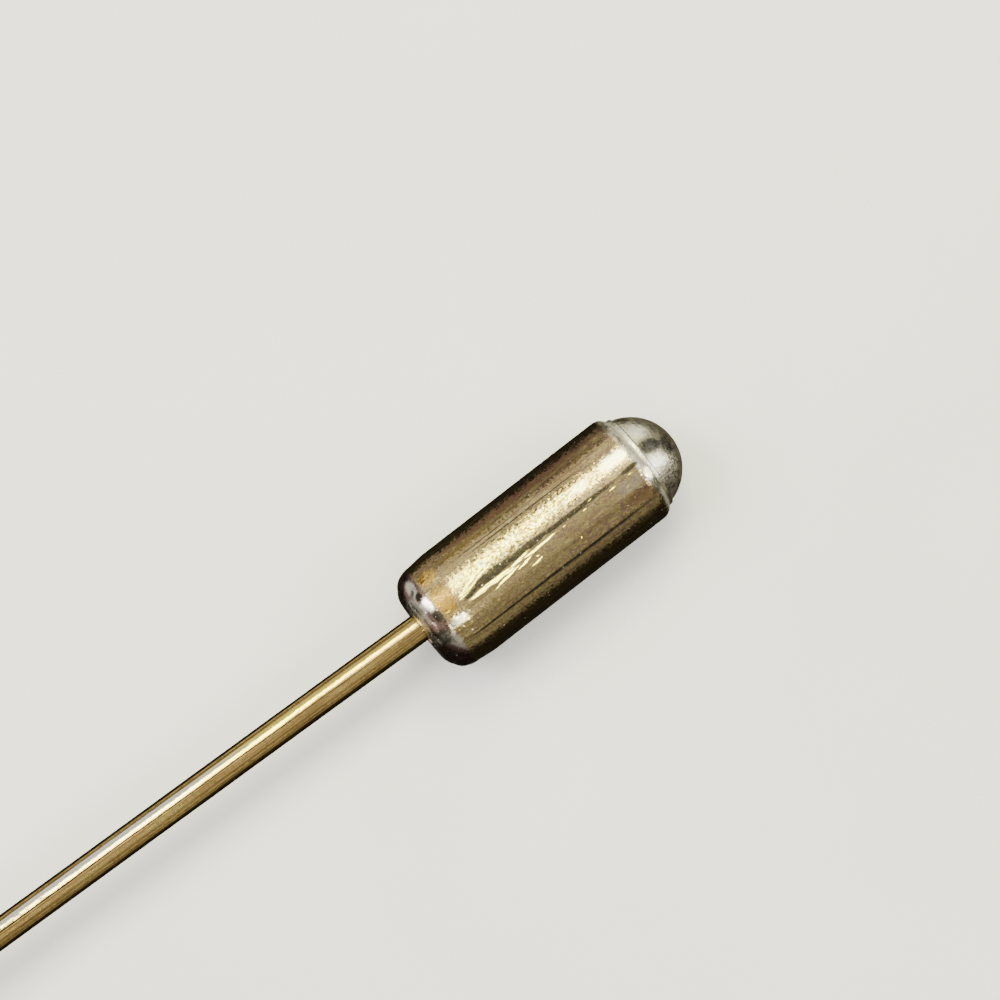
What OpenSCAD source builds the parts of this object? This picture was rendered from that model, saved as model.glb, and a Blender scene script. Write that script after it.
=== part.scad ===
// Stick pin with a bullet-shaped clutch, lying on a table as it does when nobody wears it.
// A straight wire runs along X. A domed button head sits on its -X end, and its ground point
// ends inside the clutch, which is pushed over it from the +X end. The head's flat back and the
// underside of the clutch both touch the plane z = 0. The clutch sits a little askew on the wire,
// turned about the middle of the grip ring inside it, so the wire leaves its base off centre.

/* [Wire] */
// Length from the head's far edge to the point
pin_len = 60; // [50:1:80]
// Diameter of the wire
wire_d = 1; // [0.7:0.05:1.3]
// Length that is ground down to the point
taper_len = 2.2; // [1.5:0.1:3]
// Diameter of the blunted tip
tip_d = 0.2; // [0.1:0.05:0.3]

/* [Head] */
// Diameter of the button head
head_d = 8; // [7:0.5:11]
// Thickness of the head at its middle
head_t = 4.4; // [4.2:0.1:6]
// Radius of the head's rounded rim
rim_round = 1.6; // [1:0.1:1.8]
// Depth of the drilled socket that holds the wire
socket_depth = 3; // [2:0.25:3.25]

/* [Clutch shell] */
// Outer diameter of the drawn tube
clutch_d = 4; // [3.8:0.1:4.6]
// Length of the whole clutch from its base to the top of its dome
clutch_len = 10.6; // [9.5:0.1:13]
// Thickness of the tube's wall
shell_wall = 0.25; // [0.2:0.01:0.3]
// Radius of the rounded corner at the base
base_round = 0.75; // [0.5:0.05:1]
// Radius of the curve that rolls the tube in at the dome
lip_round = 0.4; // [0.35:0.05:0.6]
// Angle through which that curve turns, in degrees
lip_turn_deg = 74; // [65:1:80]

/* [Clutch cap] */
// Radius of the dome's ball beyond the edge of the lip that it is cut off at
ball_step = 0.04; // [0.02:0.01:0.2]
// Width of the raised ring around the dome's edge
collar_w = 0.14; // [0.1:0.02:0.3]
// Height of that ring above the edge of the lip
collar_step = 0.05; // [0.02:0.01:0.1]
// Thickness of the flange that the rolled lip traps
flange_t = 0.33; // [0.2:0.01:0.5]

/* [Grip and fit] */
// Length of the grip ring inside the shell
grip_len = 1.5; // [1:0.1:1.8]
// Distance from the base to the middle of the grip ring
grip_mid = 4; // [3:0.1:4.3]
// Distance between the point and the cap's flange
point_gap = 1.5; // [0.5:0.1:2]
// Angle by which the clutch sits askew on the wire, in degrees
cock_deg = 1.7; // [0:0.1:2]
// Radial clearance between the wire and the holes that it slides in
slide_clear = 0.06; // [0.04:0.01:0.1]
// Gap between two pieces that are pressed or cemented together
seat_gap = 0.02; // [0.01:0.005:0.03]

/* [Hidden] */
$fn = 96;
// Excess length of a cut, so that it goes clean through
over = 0.1;

wire_r = wire_d / 2;
head_r = head_d / 2;
clutch_r = clutch_d / 2;
bore_r = clutch_r - shell_wall;

// The lip's curve: its centre, its length along the tube and the radius that it ends on
lip_centre_r = clutch_r - lip_round;
lip_len = lip_round * sin(lip_turn_deg);
lip_end_r = lip_centre_r + lip_round * cos(lip_turn_deg);

// The dome is the part of a ball that stands above the lip's edge
dome_r = lip_end_r + ball_step;
ball_drop = sqrt(pow(dome_r, 2) - pow(lip_end_r, 2));

// Stations along the clutch's own axis, measured from its base
ball_at = clutch_len - dome_r;
dome_at = ball_at + ball_drop;
shell_len = dome_at - seat_gap;
lip_at = shell_len - lip_len;
flange_at = lip_at - flange_t;
grip_at = grip_mid - grip_len / 2;
point_depth = flange_at - point_gap;

// Radii of the hole that the lip leaves, of the neck that fills it and of the trapped flange
lip_hole_r = lip_centre_r + sqrt(max(0, pow(lip_round - shell_wall, 2) - pow(lip_len, 2)));
neck_r = lip_hole_r - seat_gap;
flange_r = bore_r - seat_gap;

// The holes are wide enough for the wire to cross them askew
base_hole_r = wire_r + slide_clear + grip_mid * sin(cock_deg);
grip_hole_r = wire_r + slide_clear + grip_len / 2 * sin(cock_deg);

// Places along X: the whole part is centred on the origin
dome_reach = (ball_at - grip_mid) * cos(cock_deg) + dome_r;
point_reach = point_depth - grip_mid;
total_len = pin_len - point_reach + dome_reach;
grip_x = total_len / 2 - dome_reach;
point_x = grip_x + point_reach;
head_x = head_r - total_len / 2;
socket_x = head_x + head_r - socket_depth;
stem_len = point_x - socket_x;
wire_z = clutch_r;

// The head's face is one arc that runs tangent into the arc of its rim
rim_centre = [head_r - rim_round, rim_round];
face_rise = head_t - rim_round;
face_r = (pow(rim_centre[0], 2) + pow(face_rise, 2) - pow(rim_round, 2)) / (2 * (face_rise - rim_round));
face_centre = [0, head_t - face_r];
tangent_point = rim_centre + (rim_centre - face_centre) * rim_round / (face_r - rim_round);

// Puts a piece that is drawn along Z on the wire's axis, from a place on X
module on_wire(x) {
    translate([x, 0, wire_z])
        rotate([0, 90, 0])
            children();
}

// Puts a piece that is drawn along Z on the clutch's own axis, which crosses the wire's in the grip
module on_clutch() {
    translate([grip_x, 0, wire_z])
        rotate([0, 0, cock_deg])
            rotate([0, 90, 0])
                translate([0, 0, -grip_mid])
                    children();
}

// Half section of a round can: a rounded base corner, a straight side and a side that rolls in
module can_section(r, base_corner, lip_corner, side_end, length) {
    translate([0, base_corner])
        square([r, side_end - base_corner]);
    square([r - base_corner, side_end]);
    translate([r - base_corner, base_corner])
        circle(base_corner);
    square([r - lip_corner, length]);
    intersection() {
        translate([r - lip_corner, side_end])
            circle(lip_corner);
        square([r, length]);
    }
}

// Half section of the head: a flat back, a rounded rim and a domed face
module head_section() {
    square(rim_centre);
    translate(rim_centre)
        circle(rim_round);
    intersection() {
        translate(face_centre)
            circle(face_r);
        polygon([
            [0, rim_round],
            rim_centre,
            tangent_point,
            [tangent_point[0], head_t],
            [0, head_t]
        ]);
    }
}

module head() {
    color("goldenrod")
        difference() {
            translate([head_x, 0, 0])
                rotate_extrude()
                    head_section();
            on_wire(socket_x - seat_gap)
                cylinder(h = head_d, r = wire_r + seat_gap);
        }
}

module stem() {
    color("gold")
        on_wire(socket_x)
            rotate_extrude()
                polygon([
                    [0, 0],
                    [wire_r, 0],
                    [wire_r, stem_len - taper_len],
                    [tip_d / 2, stem_len],
                    [0, stem_len]
                ]);
}

module clutch_shell() {
    color("darkkhaki")
        on_clutch()
            rotate_extrude()
                difference() {
                    can_section(clutch_r, base_round, lip_round, lip_at, shell_len);
                    translate([0, shell_wall])
                        can_section(bore_r, base_round - shell_wall, lip_round - shell_wall,
                                    lip_at - shell_wall, shell_len - shell_wall + over);
                    translate([0, -over])
                        square([base_hole_r, shell_wall + 2 * over]);
                }
}

module clutch_grip() {
    color("peru")
        on_clutch()
            translate([0, 0, grip_at])
                difference() {
                    cylinder(h = grip_len, r = bore_r - seat_gap);
                    translate([0, 0, -over])
                        cylinder(h = grip_len + 2 * over, r = grip_hole_r);
                }
}

// The dome, its ring, the neck that passes through the rolled lip and the flange behind it
module clutch_cap() {
    color("silver")
        on_clutch() {
            intersection() {
                translate([0, 0, ball_at])
                    sphere(dome_r);
                translate([0, 0, dome_at])
                    cylinder(h = clutch_d, r = clutch_d);
            }
            translate([0, 0, dome_at + collar_w / 2])
                rotate_extrude() {
                    translate([0, -collar_w / 2])
                        square([lip_end_r + collar_step - collar_w / 2, collar_w]);
                    translate([lip_end_r + collar_step - collar_w / 2, 0])
                        circle(collar_w / 2);
                }
            translate([0, 0, flange_at])
                cylinder(h = dome_at - flange_at + collar_w / 2, r = neck_r);
            translate([0, 0, flange_at])
                cylinder(h = flange_t, r = flange_r);
        }
}

head();
stem();
clutch_shell();
clutch_grip();
clutch_cap();
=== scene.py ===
"""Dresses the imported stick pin: a gilt button head, a drawn brass wire and a gilt clutch with a nickel cap.

The wire lies along X. The clutch sits on its point end with its axis turned 1.7 degrees about Z, and the
camera looks down on the clutch as the photograph does. Names that end in _mm, _m, _px or _deg say their unit.
Turned pieces are drawn in millimetres in the lathe's own frame, with Z along the work, and seated in the
part's frame in metres at the end.
"""

import logging
import math
from collections.abc import Callable, Iterable, Mapping
from dataclasses import dataclass, field
from enum import Enum
from typing import Self

import bmesh
import bpy
from mathutils import Matrix, Vector, noise


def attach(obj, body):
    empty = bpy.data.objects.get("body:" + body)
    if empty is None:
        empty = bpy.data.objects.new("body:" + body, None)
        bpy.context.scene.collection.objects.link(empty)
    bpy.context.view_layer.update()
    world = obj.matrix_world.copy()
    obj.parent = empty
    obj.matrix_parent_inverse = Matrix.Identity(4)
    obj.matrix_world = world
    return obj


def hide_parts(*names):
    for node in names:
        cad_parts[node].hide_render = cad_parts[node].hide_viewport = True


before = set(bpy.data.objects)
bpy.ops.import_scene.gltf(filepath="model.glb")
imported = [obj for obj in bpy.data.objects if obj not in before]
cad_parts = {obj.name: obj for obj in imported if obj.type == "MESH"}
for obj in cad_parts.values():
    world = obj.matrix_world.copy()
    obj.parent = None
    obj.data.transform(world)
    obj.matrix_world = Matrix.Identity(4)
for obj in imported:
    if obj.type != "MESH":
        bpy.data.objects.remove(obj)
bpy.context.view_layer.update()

LOG = logging.getLogger("stick_pin")
MM = 0.001
MICRON = 0.000001
# Points closer than this are one, and one this near the axis lies on it.
WELD_MM = 0.0001
ON_AXIS_MM = 0.000001
SKIN_MAP = "skin_mm"

Triple = tuple[float, float, float]
Pair = tuple[float, float]

# Places of the photograph, in its pixels, and what they show.
FRAME_PX = 1000.0
BASE_FACE_PX = (422.2, 630.2)
PX_PER_MM = 30.0

# The wire's line and the clutch's line.
WIRE_HEIGHT_MM = 2.0
CLUTCH_TURN_DEG = 1.7
CLUTCH_BASE_MM = (21.2092, -0.1187, WIRE_HEIGHT_MM)


# Small tools


def linear(colour: str) -> tuple[float, ...]:
    """Turns an sRGB hex colour such as "#E8C98A" to linear light.

    Args:
        colour: Six hex digits after a hash sign.

    Returns:
        Red, green and blue in linear light, and an alpha of 1.
    """
    parts = [int(colour[i : i + 2], 16) / 255 for i in (1, 3, 5)]
    red, green, blue = (p / 12.92 if p <= 0.04045 else ((p + 0.055) / 1.055) ** 2.4 for p in parts)
    return red, green, blue, 1.0


def find_socket(sockets: Iterable[bpy.types.NodeSocket], name: str) -> bpy.types.NodeSocket | None:
    """Finds a node's enabled socket by identifier or name.

    Args:
        sockets: The node's inputs or outputs.
        name: A socket's identifier or its name.

    Returns:
        The socket, or None where the node has none of that name.
    """
    live = [s for s in sockets if s.enabled]
    by_identifier = next((s for s in live if s.identifier == name), None)
    return by_identifier or next((s for s in live if s.name == name), None)


def add_node(
    tree: bpy.types.NodeTree,
    kind: str,
    settings: Mapping[str, object] | None = None,
    links: Mapping[str, object] | None = None,
) -> bpy.types.Node:
    """Adds a node, sets its properties and sockets, and links it.

    Args:
        tree: The node tree.
        kind: The node's type without its "ShaderNode" start.
        settings: Values by property name, socket identifier or socket name.
        links: A node, for its first enabled output, or a socket, by the input that it feeds.

    Returns:
        The new node.
    """
    node = tree.nodes.new(f"ShaderNode{kind}")
    for key, value in (settings or {}).items():
        if hasattr(node, key):
            setattr(node, key, value)
        else:
            find_socket(node.inputs, key).default_value = value
    for key, source in (links or {}).items():
        if isinstance(source, bpy.types.Node):
            source = next(s for s in source.outputs if s.enabled)
        tree.links.new(source, find_socket(node.inputs, key))
    return node


def finished(mesh: bmesh.types.BMesh, name: str, material: bpy.types.Material) -> bpy.types.Object:
    """Makes an object of a finished bmesh, and frees the bmesh.

    Args:
        mesh: The mesh, in its place in the part's frame.
        name: The object's name.
        material: Its finish.

    Returns:
        The object, which is at the origin, unturned and unscaled.
    """
    data = bpy.data.meshes.new(name)
    mesh.to_mesh(data)
    mesh.free()
    data.materials.append(material)
    piece = bpy.data.objects.new(name, data)
    bpy.context.scene.collection.objects.link(piece)
    return piece


# Turned pieces


def seat_along_wire(start_mm: Triple, turn_deg: float = 0.0) -> Matrix:
    """Seats a turned piece with its lathe axis along the wire.

    Args:
        start_mm: Where the lathe's origin goes in the part's frame.
        turn_deg: How far the axis turns about Z from the wire's line.

    Returns:
        The transform from the lathe's millimetres to the part's metres.
    """
    turn = Matrix.Rotation(math.radians(turn_deg), 4, "Z") @ Matrix.Rotation(math.radians(90), 4, "Y")
    return Matrix.Translation(Vector(start_mm) * MM) @ turn @ Matrix.Scale(MM, 4)


def seat_upright(start_mm: Triple) -> Matrix:
    """Seats a turned piece with its lathe axis up.

    Args:
        start_mm: Where the lathe's origin goes in the part's frame.

    Returns:
        The transform from the lathe's millimetres to the part's metres.
    """
    return Matrix.Translation(Vector(start_mm) * MM) @ Matrix.Scale(MM, 4)


@dataclass
class Lathe:
    """Draws a profile with a pen, turns it, knocks it about and seats it as a mesh.

    The profile lies in the lathe's XZ plane: X is the radius and Z the place along the work. Each point keeps
    the length of skin drawn before it, which later is the first coordinate of the unrolled skin.
    """

    name: str
    seat: Matrix
    steps: int = 128
    gauge_mm: float = 1.0
    first_run_mm: float = 0.0
    mesh: bmesh.types.BMesh = field(default_factory=bmesh.new)

    def start(self, radius: float, along: float) -> None:
        """Puts the pen down.

        Args:
            radius: Distance from the axis in mm.
            along: Place along the axis in mm.
        """
        self.run_layer = self.mesh.verts.layers.float.new("run_mm")
        self.tip = bmesh.ops.create_vert(self.mesh, co=(radius, 0, along))["vert"][0]
        self.tip[self.run_layer] = self.first_run_mm

    def _step(self) -> bmesh.types.BMVert:
        """Extrudes the pen's point by a vertex, which becomes the new point."""
        made = bmesh.ops.extrude_vert_indiv(self.mesh, verts=[self.tip])["verts"][0]
        made[self.run_layer] = self.tip[self.run_layer]
        self.tip, last = made, self.tip
        return last

    def line(self, radius: float, along: float, parts: int = 1) -> None:
        """Draws a straight stroke.

        Args:
            radius: The stroke's end, from the axis, in mm.
            along: The stroke's end along the axis, in mm.
            parts: How many edges it has.
        """
        move = (Vector((radius, 0, along)) - self.tip.co) / parts
        for _ in range(parts):
            last = self._step()
            bmesh.ops.translate(self.mesh, verts=[self.tip], vec=move)
            self.tip[self.run_layer] += (self.tip.co - last.co).length

    def arc(self, radius: float, along: float, turn_deg: float, parts: int) -> None:
        """Draws an arc about a centre.

        Args:
            radius: The centre's distance from the axis, in mm.
            along: The centre's place along the axis, in mm.
            turn_deg: How far the pen goes round it, positive from the axis's direction towards the outside.
            parts: How many edges it has.
        """
        step = Matrix.Rotation(math.radians(turn_deg / parts), 3, "Y")
        for _ in range(parts):
            last = self._step()
            bmesh.ops.rotate(self.mesh, verts=[self.tip], cent=(radius, 0, along), matrix=step)
            self.tip[self.run_layer] += (self.tip.co - last.co).length

    def turn(self) -> None:
        """Spins the profile right round, and closes the seam and the poles."""
        bmesh.ops.spin(
            self.mesh,
            geom=[*self.mesh.verts, *self.mesh.edges],
            cent=(0, 0, 0),
            axis=(0, 0, 1),
            dvec=(0, 0, 0),
            angle=math.tau,
            steps=self.steps,
            use_merge=True,
            use_duplicate=False,
        )
        bmesh.ops.remove_doubles(self.mesh, verts=self.mesh.verts, dist=WELD_MM)
        bmesh.ops.recalc_face_normals(self.mesh, faces=self.mesh.faces)

    def knock(self, depth: Callable[[float, float, Vector], float]) -> None:
        """Moves the skin inwards along its normals.

        Args:
            depth: Gives the depth in mm from the run in mm, the way round in mm and the place.
        """
        self.mesh.normal_update()
        moves = []
        for vert in self.mesh.verts:
            way = self.way_round(vert.co) * self.gauge_mm
            moves.append(vert.normal * depth(vert[self.run_layer], way, vert.co))
        for vert, move in zip(self.mesh.verts, moves):
            vert.co -= move

    @staticmethod
    def way_round(place: Vector) -> float:
        """Gives the angle round the lathe's axis in radians, 0 on the side that ends on top."""
        return math.atan2(place.y, -place.x)

    def unroll(self) -> None:
        """Lays the skin flat as a UV map in mm: the run along it, and the way round at the gauge radius."""
        skin = self.mesh.loops.layers.uv.new(SKIN_MAP)
        for face in self.mesh.faces:
            face.smooth = True
            middle = self.way_round(face.calc_center_median())
            for loop in face.loops:
                place = loop.vert.co
                angle = middle if place.xy.length < ON_AXIS_MM else self.way_round(place)
                angle += math.tau * round((middle - angle) / math.tau)
                loop[skin].uv = (loop.vert[self.run_layer], angle * self.gauge_mm)

    def seated(self, material: bpy.types.Material) -> bpy.types.Object:
        """Seats the work in the part's frame.

        Args:
            material: The piece's finish.

        Returns:
            The finished piece.
        """
        self.unroll()
        bmesh.ops.transform(self.mesh, matrix=self.seat, verts=self.mesh.verts)
        bmesh.ops.recalc_face_normals(self.mesh, faces=self.mesh.faces)
        return finished(self.mesh, self.name, material)


# Placed flaws, painted highlights and painted reflections


class Flaw(Enum):
    """What a placed mark does to the metal, or the highlight or reflection that it paints."""

    # Bright cuts on the clutch. On the dome the same kind paints highlights.
    SCRATCH_AND_HIGHLIGHT = "a bright cut through the surface film"
    # Tarnish, and also painted dark reflections: of the camera, of the horizon and of the dark room.
    TARNISH_AND_DARK_REFLECTION = "a dark film"
    BLACK = "a black film in a hollow"
    COPPER = "plating rubbed down to its copper strike"
    # Rubbed down to the nickel, and also paints highlights whiter.
    SILVER_AND_HIGHLIGHT = "plating rubbed down to the nickel under it"
    GOLD = "plating that was never rubbed"
    # Paints the highlight's yellow tint where the key panel is mirrored, on the clutch and on the wire.
    HIGHLIGHT_TINT = "plating rubbed thin over its brass"
    # Paints a white highlight on the lip, where a small facet also faces the key panel.
    BURNISH_HIGHLIGHT = "a small facet burnished down to the nickel"
    # Paints dark grains over the highlight, where plate grains would miss the lamp.
    HIGHLIGHT_DARK_GRAINS = "handled plate with dark pits"


@dataclass(frozen=True)
class Mark:
    """An ellipse on the unrolled skin: its middle, its half sizes in mm and its lean in degrees."""

    flaw: Flaw
    run: float
    way: float
    half_run: float
    half_way: float
    lean_deg: float = 0.0
    strength: float = 1.0

    @classmethod
    def rows(cls, flaw: Flaw, *rows: tuple[float, ...]) -> tuple[Self, ...]:
        """Makes marks of one kind, each from a row of its other fields."""
        return tuple(cls(flaw, *row) for row in rows)

    def outline(self) -> dict[str, object]:
        """What a Mapping node is set to, so that it turns the mark into a unit circle."""
        turn = (0, 0, math.radians(self.lean_deg))
        half = (self.half_run, self.half_way, 1)
        return {"Location": (self.run, self.way, 0), "Rotation": turn, "Scale": half}


@dataclass(frozen=True)
class Blotch:
    """An ellipsoid in the clutch's own frame, in mm from its base face's middle, for places near a pole."""

    flaw: Flaw
    middle: Triple
    half: Triple
    turn_deg: Triple = (0.0, 0.0, 0.0)
    strength: float = 1.0

    def outline(self) -> dict[str, object]:
        """What a Mapping node is set to, so that it turns the blotch into a unit ball."""
        turn = [math.radians(t) for t in self.turn_deg]
        return {"Location": self.middle, "Rotation": turn, "Scale": self.half}


@dataclass
class Shader:
    """A finish's node tree, with the patterns and the masks that the finish is built from.

    A pattern, a mask or a colour is a socket, or a node that stands for its first enabled output.
    """

    name: str

    def __post_init__(self) -> None:
        """Makes the material with its surface and output."""
        self.material = bpy.data.materials.new(self.name)
        self.material.use_nodes = True
        self.tree = self.material.node_tree
        self.tree.nodes.clear()
        self.surface = self.add("BsdfPrincipled")
        self.add("OutputMaterial", links={"Surface": self.surface})

    def add(
        self,
        kind: str,
        settings: Mapping[str, object] | None = None,
        links: Mapping[str, object] | None = None,
    ) -> bpy.types.Node:
        """Adds a node to this tree, as add_node does."""
        return add_node(self.tree, kind, settings, links)

    def feed(self, inputs: Mapping[str, bpy.types.Node | float]) -> bpy.types.Material:
        """Feeds the surface. What is the same all over is set on its own socket.

        Args:
            inputs: A node or a number by the surface's input.

        Returns:
            The finished material.
        """
        for name, source in inputs.items():
            if isinstance(source, bpy.types.Node):
                live = next(s for s in source.outputs if s.enabled)
                self.tree.links.new(live, self.surface.inputs[name])
            else:
                self.surface.inputs[name].default_value = source
        return self.material

    def place_mm(self, start_mm: Triple, turn_deg: float = 0.0) -> bpy.types.Node:
        """Gives Object coordinates in mm from a point, turned about Z.

        Args:
            start_mm: The point in the part's frame.
            turn_deg: The turn of the pattern about Z.

        Returns:
            The node that gives them.
        """
        settings = {
            "vector_type": "TEXTURE",
            "Location": [s * MM for s in start_mm],
            "Rotation": (0, 0, math.radians(turn_deg)),
            "Scale": (MM, MM, MM),
        }
        return self.add("Mapping", settings, {"Vector": self.add("TexCoord").outputs["Object"]})

    def grain(
        self,
        place: object,
        size_mm: Triple,
        detail: float = 2.0,
        rough: float = 0.5,
    ) -> bpy.types.Node:
        """Makes noise with its own fineness along each axis.

        Args:
            place: Coordinates in mm.
            size_mm: How long a grain is along each axis.
            detail: Octaves above the first.
            rough: How strong the finer octaves are.

        Returns:
            The noise.
        """
        scaled = self.add("VectorMath", {"operation": "DIVIDE", "Vector_001": size_mm}, {"Vector": place})
        return self.add("TexNoise", {"Scale": 1.0, "Detail": detail, "Roughness": rough}, {"Vector": scaled})

    def facets(self, place: object, size_mm: Triple) -> tuple[bpy.types.Node, bpy.types.Node]:
        """Splits the surface into small grains, each with random numbers of its own.

        Args:
            place: Coordinates in mm.
            size_mm: How long a grain is along each axis.

        Returns:
            The grains, whose Distance grows from each one's middle, and the node of their random numbers.
        """
        scaled = self.add("VectorMath", {"operation": "DIVIDE", "Vector_001": size_mm}, {"Vector": place})
        grains = self.add("TexVoronoi", {"Scale": 1.0, "Randomness": 1.0}, {"Vector": scaled})
        return grains, self.add("SeparateColor", links={"Color": grains.outputs["Color"]})

    def wander(self, place: object, waves: bpy.types.Node, reach_mm: Triple) -> bpy.types.Node:
        """Moves coordinates to and fro, so that the edges of what is placed by them wander.

        Args:
            place: The coordinates in mm.
            waves: The noise that moves them.
            reach_mm: How far they move from end to end, along each axis.

        Returns:
            The moved coordinates.
        """
        settings = {"operation": "MULTIPLY_ADD", "Vector_001": reach_mm}
        moved = self.add("VectorMath", settings, {"Vector": waves.outputs["Color"], "Vector_002": place})
        middle = [reach / 2 for reach in reach_mm]
        return self.add("VectorMath", {"operation": "SUBTRACT", "Vector_001": middle}, {"Vector": moved})

    def where(
        self,
        pattern: object,
        between: Pair,
        cover: Pair = (0.0, 1.0),
        within: object | None = None,
    ) -> bpy.types.Node:
        """Makes a mask that follows a pattern smoothly from one value to another.

        Args:
            pattern: The pattern, or a length in mm.
            between: The pattern's values where the mask begins to change and where it stops.
            cover: The mask's values there.
            within: A mask that this one is kept inside.

        Returns:
            The mask.
        """
        names = ("From Min", "From Max", "To Min", "To Max")
        settings = {"interpolation_type": "SMOOTHSTEP"} | dict(zip(names, (*between, *cover)))
        mask = self.add("MapRange", settings, {"Value": pattern})
        if within is None:
            return mask
        return self.add("Math", {"operation": "MULTIPLY"}, {"Value": within, "Value_001": mask})

    def most(self, *masks: object) -> object:
        """Gives the strongest of some masks at each place.

        Args:
            masks: The masks.

        Returns:
            The joint mask.
        """
        strongest, *others = masks
        for mask in others:
            strongest = self.add("Math", {"operation": "MAXIMUM"}, {"Value": strongest, "Value_001": mask})
        return strongest

    def plus(self, start: object, *shares: tuple[object, float]) -> object:
        """Adds shares of some patterns to a value.

        Args:
            start: The value, or a length in mm.
            shares: Each pattern with how much of it is added.

        Returns:
            The sum.
        """
        total = start
        for pattern, share in shares:
            settings = {"operation": "MULTIPLY_ADD", "Value_001": share}
            total = self.add("Math", settings, {"Value": pattern, "Value_002": total})
        return total

    def film(
        self,
        under: object,
        over: object,
        pattern: object,
        between: Pair | None = None,
        cover: Pair = (0.0, 1.0),
        within: object | None = None,
    ) -> bpy.types.Node:
        """Lays a film over a colour, in a mask or as where makes one from a pattern.

        Args:
            under: The colour so far: a hex value, a node or a socket.
            over: The film's colour, in the same forms.
            pattern: The pattern, or the mask if nothing follows.
            between: The pattern's values where the film begins to change and where it stops.
            cover: How far the film covers there.
            within: A mask that the film is kept inside.

        Returns:
            The new colour.
        """
        mask = pattern if between is None else self.where(pattern, between, cover, within)
        settings: dict[str, object] = {"data_type": "RGBA"}
        links: dict[str, object] = {"Factor": mask}
        for side, colour in (("A_Color", under), ("B_Color", over)):
            if isinstance(colour, str):
                settings[side] = linear(colour)
            else:
                links[side] = colour
        return self.add("Mix", settings, links)

    def relief(self, *heights: tuple[object, float]) -> bpy.types.Node:
        """Raises the surface by some patterns, one over another.

        Args:
            heights: Each pattern with its height in microns.

        Returns:
            The node that gives the normal.
        """
        normal: bpy.types.Node | None = None
        for pattern, microns in heights:
            under = {"Normal": normal} if normal else {}
            normal = self.add("Bump", {"Distance": microns * MICRON}, {"Height": pattern} | under)
        return normal

    def lean(self, grains: bpy.types.Node, amount: object, under: bpy.types.Node) -> bpy.types.Node:
        """Leans each grain's normal its own way, as crystals in a plate catch the light one by one.

        Args:
            grains: The grains.
            amount: Twice the steepest lean, as a slope: a number, or a node that gives it.
            under: The normal that the grains go over.

        Returns:
            The node that gives the normal.
        """
        middle = {"operation": "SUBTRACT", "Vector_001": (0.5, 0.5, 0.5)}
        way = self.add("VectorMath", middle, {"Vector": grains.outputs["Color"]})
        scale = {"Scale": amount}
        fixed = isinstance(amount, float)
        settings = {"operation": "SCALE"} | (scale if fixed else {})
        scaled = self.add("VectorMath", settings, {"Vector": way} | ({} if fixed else scale))
        bent = self.add("VectorMath", {"operation": "ADD"}, {"Vector": scaled, "Vector_001": under})
        return self.add("VectorMath", {"operation": "NORMALIZE"}, {"Vector": bent})

    def masks(self, place: object, marks: Iterable[Mark | Blotch], flaw: Flaw, soft: float = 0.45) -> object:
        """Joins the marks of one kind.

        Args:
            place: The skin, or the clutch's frame for blotches, in mm.
            marks: All the piece's marks, some of them of that kind.
            flaw: The kind that is wanted.
            soft: How much of an ellipse's radius its edge takes.

        Returns:
            A mask that is each mark's strength inside it and 0 outside.
        """
        total: object | None = None
        for mark in (m for m in marks if m.flaw is flaw):
            inside = self.add("Mapping", {"vector_type": "TEXTURE"} | mark.outline(), {"Vector": place})
            # A ball of shade is 1 in its middle and 0 from its rim on. It costs less than a length.
            near = self.add("TexGradient", {"gradient_type": "SPHERICAL"}, {"Vector": inside})
            here = self.where(near.outputs["Fac"], (0.0, soft), (0.0, mark.strength))
            total = here if total is None else self.most(total, here)
        return total


# Finishes. A pattern's sizes are along the wire or the draw, then across it twice.


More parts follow.
